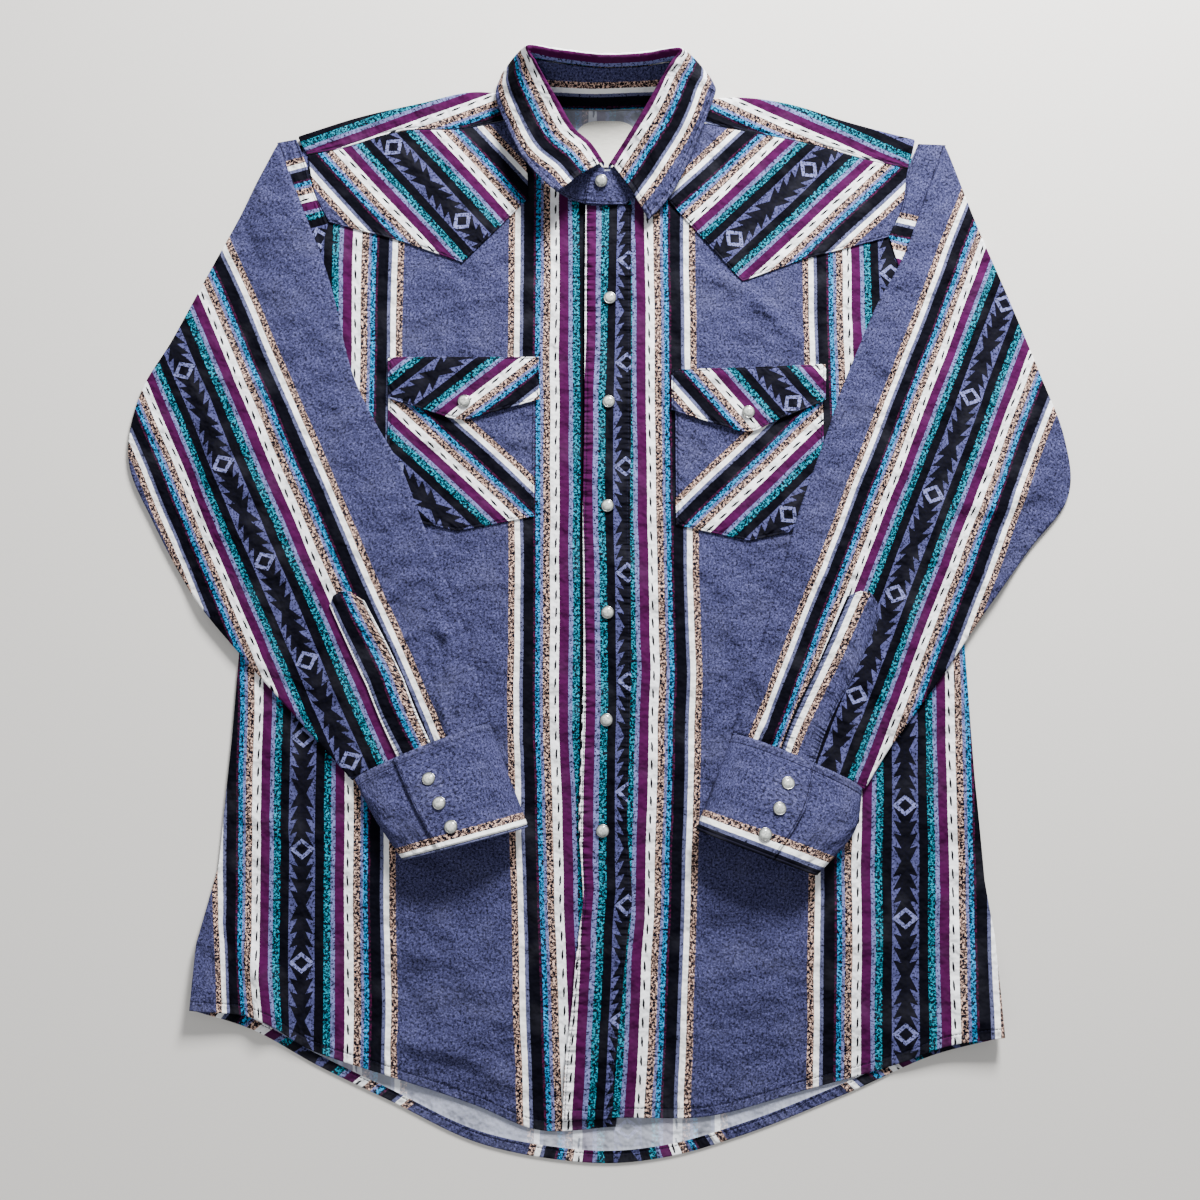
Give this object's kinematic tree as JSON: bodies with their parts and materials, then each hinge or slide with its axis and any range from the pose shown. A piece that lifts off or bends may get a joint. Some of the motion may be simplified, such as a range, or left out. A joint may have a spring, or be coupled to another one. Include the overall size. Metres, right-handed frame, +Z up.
{
  "type": "western snap shirt",
  "caption": "Men's long-sleeved western shirt with striped southwestern print, pearl snaps, pointed yokes and pocket flaps, laid flat with its front up.",
  "frame": {"origin": "middle of the shirt's bounding box, on the surface that it lies on", "axes": "+X to the wearer's left, +Y to the collar, +Z up out of the shirt's front"},
  "size_m": [0.7613, 0.8816, 0.0428],
  "materials": {
    "striped_twill": "matte cotton twill printed with stripes",
    "plain_twill": "matte cotton twill, plain heathered ground",
    "label_tape": "smooth woven tape, bare",
    "pearl_snap": "pearl cap in a thin metal rim"
  },
  "bodies": {
    "root": {"collar_stand": "plain_twill", "cuff_right": "plain_twill", "cuff_left": "plain_twill", "neck_label": "label_tape", "snap_neck": "pearl_snap", "snap_front_1": "pearl_snap", "snap_front_2": "pearl_snap", "snap_front_3": "pearl_snap", "snap_front_4": "pearl_snap", "snap_front_5": "pearl_snap", "snap_front_6": "pearl_snap", "snap_pocket_right": "pearl_snap", "snap_pocket_left": "pearl_snap", "snap_cuff_right_1": "pearl_snap", "snap_cuff_right_2": "pearl_snap", "snap_cuff_right_3": "pearl_snap", "snap_cuff_left_1": "pearl_snap", "snap_cuff_left_2": "pearl_snap", "snap_cuff_left_3": "pearl_snap", "back": "striped_twill", "back_yoke": "striped_twill", "front_right": "striped_twill", "front_left": "striped_twill", "front_placket": "striped_twill", "collar_leaf": "striped_twill", "front_yoke_right": "striped_twill", "front_yoke_left": "striped_twill", "armhole_strip_right": "striped_twill", "armhole_strip_left": "striped_twill", "pocket_right": "striped_twill", "pocket_left": "striped_twill", "pocket_flap_right": "striped_twill", "pocket_flap_left": "striped_twill", "sleeve_right": "striped_twill", "sleeve_left": "striped_twill", "sleeve_placket_right": "striped_twill", "sleeve_placket_left": "striped_twill"}
  },
  "joints": []
}
